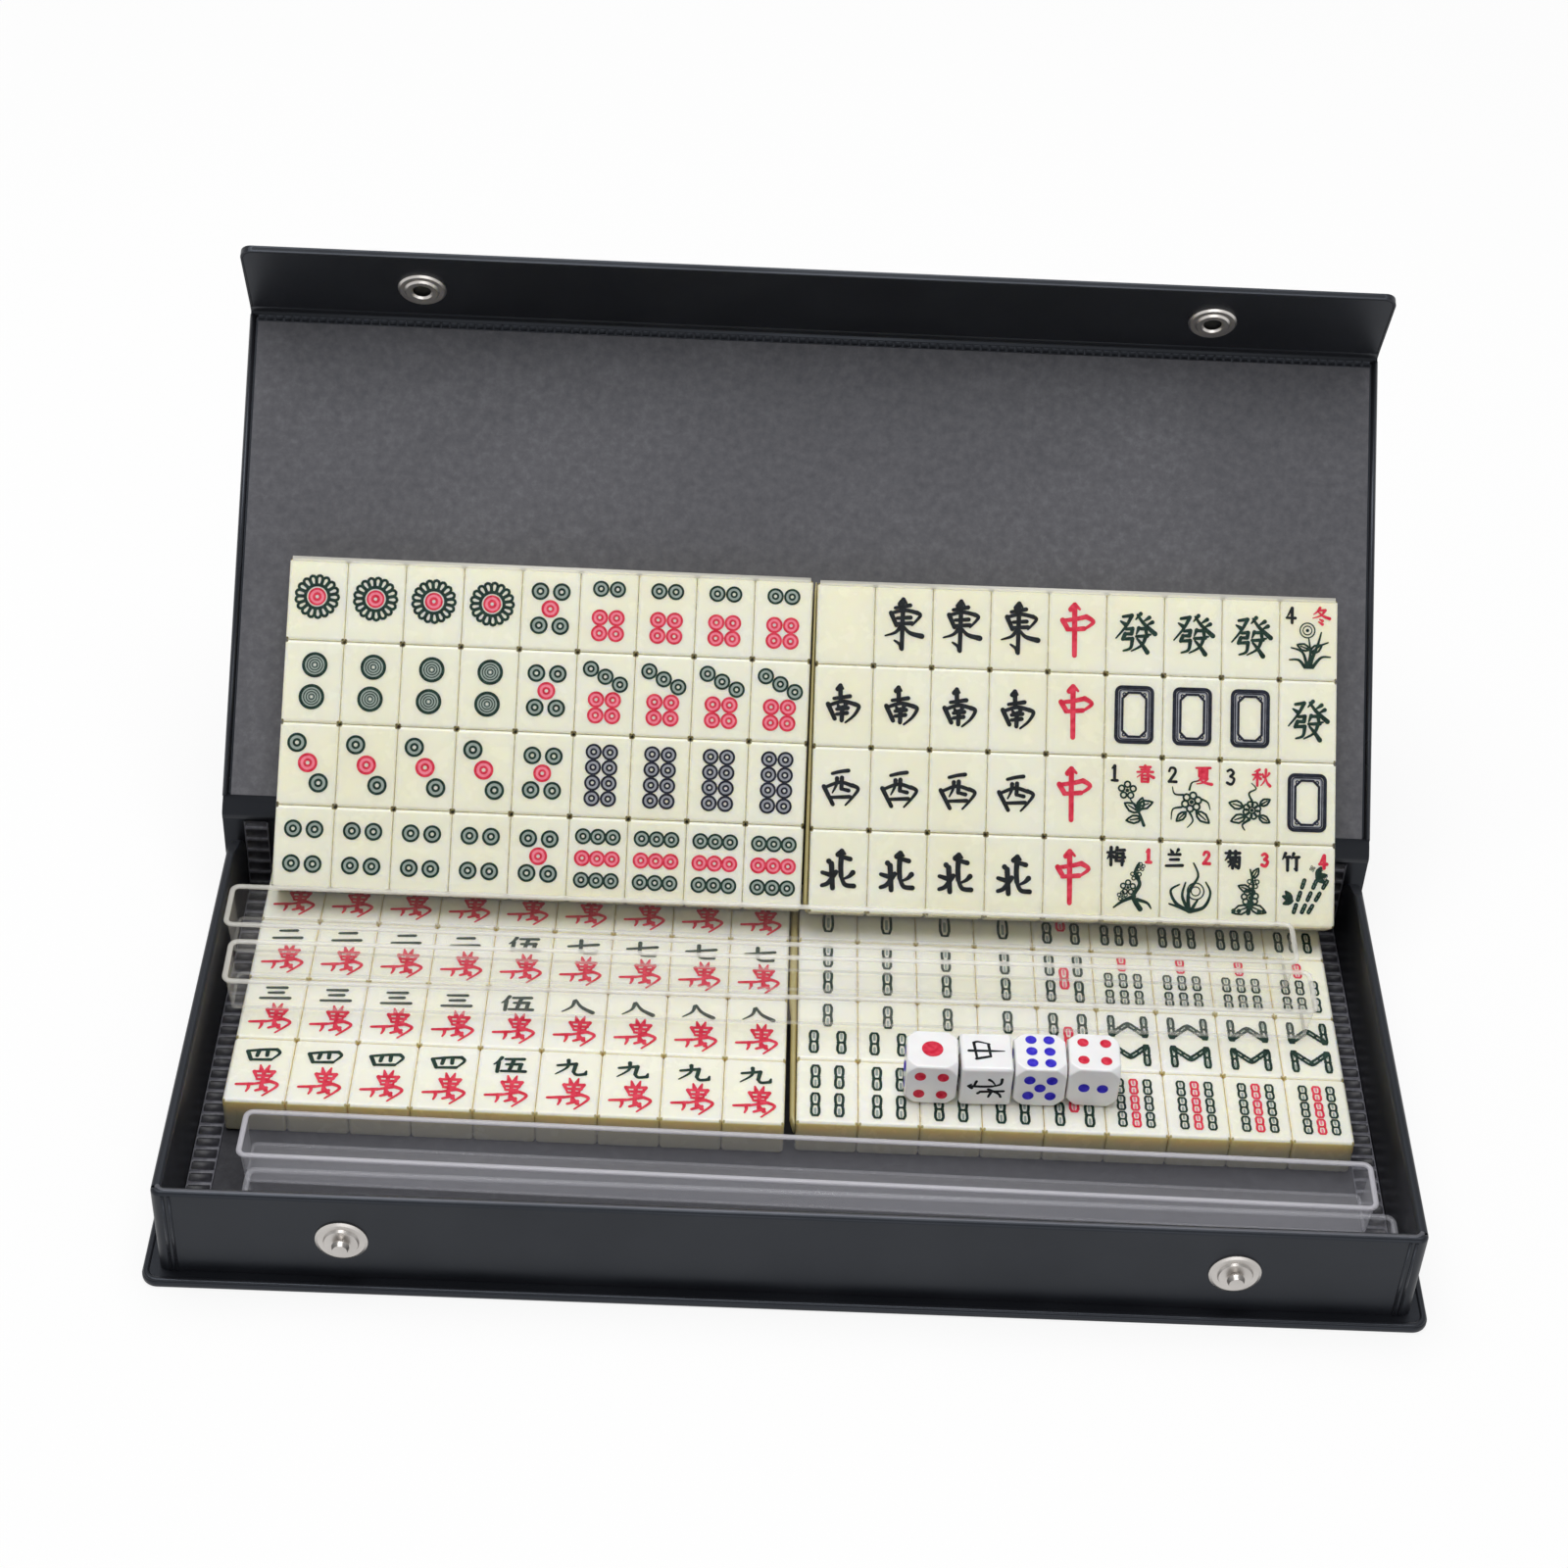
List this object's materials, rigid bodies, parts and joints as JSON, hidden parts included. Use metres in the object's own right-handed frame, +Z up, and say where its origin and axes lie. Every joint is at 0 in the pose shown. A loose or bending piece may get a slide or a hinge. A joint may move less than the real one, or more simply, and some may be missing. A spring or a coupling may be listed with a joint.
{
  "type": "mahjong case",
  "caption": "Travel mahjong case, open: covered-board tray, leaning lid and snap flap, wrapped blocks of suit and honour tiles, clear racks and dice",
  "frame": {"origin": "middle of the underside of the tray's bottom panel", "axes": "+X to the right along the case seen from the front, +Y to the back where the lid leans, +Z up"},
  "size_m": [0.3, 0.2323, 0.1454],
  "materials": {
    "vinyl_cover": "smooth black vinyl over board, soft gloss",
    "lining": "mottled dark grey lining paper, matt",
    "ribbed_strip": "ribbed heat-weld strip, satin",
    "snap_metal": "nickel-plated stamped steel",
    "tile_body": "ivory moulded resin, polished",
    "clear_rack": "clear moulded styrene",
    "die_body": "white moulded resin, polished"
  },
  "bodies": {
    "tray": {"bottom_panel": "vinyl_cover", "floor_liner": "lining", "weld_strips": "ribbed_strip", "front_wall": "vinyl_cover", "left_wall": "vinyl_cover", "right_wall": "vinyl_cover", "spine_panel": "vinyl_cover", "snap_studs": "snap_metal"},
    "lid": {"lid_hinge": "vinyl_cover", "lid_panel": "vinyl_cover", "lid_lining": "lining"},
    "flap": {"flap_hinge": "vinyl_cover", "flap_panel": "vinyl_cover", "snap_sockets": "snap_metal", "snap_caps": "snap_metal"},
    "lower_left": {"tiles_characters_1": "tile_body", "tiles_characters_2": "tile_body", "tiles_characters_3": "tile_body", "tiles_characters_4": "tile_body", "tiles_characters_5": "tile_body", "tiles_characters_6": "tile_body", "tiles_characters_7": "tile_body", "tiles_characters_8": "tile_body", "tiles_characters_9": "tile_body"},
    "lower_right": {"tiles_bamboos_1": "tile_body", "tiles_bamboos_2": "tile_body", "tiles_bamboos_3": "tile_body", "tiles_bamboos_4": "tile_body", "tiles_bamboos_5": "tile_body", "tiles_bamboos_6": "tile_body", "tiles_bamboos_7": "tile_body", "tiles_bamboos_8": "tile_body", "tiles_bamboos_9": "tile_body"},
    "upper_left": {"tiles_dots_1": "tile_body", "tiles_dots_2": "tile_body", "tiles_dots_3": "tile_body", "tiles_dots_4": "tile_body", "tiles_dots_5": "tile_body", "tiles_dots_6": "tile_body", "tiles_dots_7": "tile_body", "tiles_dots_8": "tile_body", "tiles_dots_9": "tile_body"},
    "upper_right": {"tiles_blank": "tile_body", "tiles_wind_east": "tile_body", "tiles_wind_south": "tile_body", "tiles_wind_west": "tile_body", "tiles_wind_north": "tile_body", "tiles_dragon_red": "tile_body", "tiles_dragon_green": "tile_body", "tiles_dragon_white": "tile_body", "tiles_seasons": "tile_body", "tiles_flowers": "tile_body"},
    "bay_front_rack": {"rack_bay_front": "clear_rack"},
    "bay_back_rack": {"rack_bay_back": "clear_rack"},
    "top_back_rack": {"rack_top_back": "clear_rack"},
    "top_front_rack": {"rack_top_front": "clear_rack"},
    "first_die": {"die_one": "die_body"},
    "second_die": {"die_winds": "die_body"},
    "third_die": {"die_six": "die_body"},
    "fourth_die": {"die_four": "die_body"}
  },
  "joints": [
    {"name": "lid_fold", "type": "hinge", "parent": "tray", "child": "lid", "pos_m": [0, 0.06691, 0.0305], "axis": [-1, 0, 0], "range_deg": [0, 53]},
    {"name": "flap_fold", "type": "hinge", "parent": "lid", "child": "flap", "pos_m": [0, 0.16277, 0.12052], "axis": [-1, 0, 0], "range_deg": [-27, 69]},
    {"name": "lower_left_lift", "type": "slide", "parent": "tray", "child": "lower_left", "axis": [0, 0, 1], "range_m": [0, 0.028]},
    {"name": "lower_right_lift", "type": "slide", "parent": "tray", "child": "lower_right", "axis": [0, 0, 1], "range_m": [0, 0.028]},
    {"name": "upper_left_slide", "type": "slide", "parent": "lower_left", "child": "upper_left", "axis": [0, 0.729, 0.6845], "range_m": [0, 0.035]},
    {"name": "upper_right_slide", "type": "slide", "parent": "lower_right", "child": "upper_right", "axis": [0, 0.729, 0.6845], "range_m": [0, 0.035]},
    {"name": "top_back_rack_lift", "type": "slide", "parent": "lower_left", "child": "top_back_rack", "axis": [0, 0, 1], "range_m": [0, 0.03]},
    {"name": "top_front_rack_lift", "type": "slide", "parent": "lower_left", "child": "top_front_rack", "axis": [0, 0, 1], "range_m": [0, 0.03]},
    {"name": "bay_back_rack_lift", "type": "slide", "parent": "tray", "child": "bay_back_rack", "axis": [0, 0, 1], "range_m": [0, 0.04]},
    {"name": "bay_front_rack_lift", "type": "slide", "parent": "tray", "child": "bay_front_rack", "axis": [0, 0, 1], "range_m": [0, 0.04]},
    {"name": "first_die_lift", "type": "slide", "parent": "lower_right", "child": "first_die", "axis": [0, 0, 1], "range_m": [0, 0.03]},
    {"name": "second_die_lift", "type": "slide", "parent": "lower_right", "child": "second_die", "axis": [0, 0, 1], "range_m": [0, 0.03]},
    {"name": "third_die_lift", "type": "slide", "parent": "lower_right", "child": "third_die", "axis": [0, 0, 1], "range_m": [0, 0.03]},
    {"name": "fourth_die_lift", "type": "slide", "parent": "lower_right", "child": "fourth_die", "axis": [0, 0, 1], "range_m": [0, 0.03]}
  ],
  "couplings": [
    {"joint": "lower_right_lift", "follows": "lower_left_lift", "ratio": 1}
  ]
}
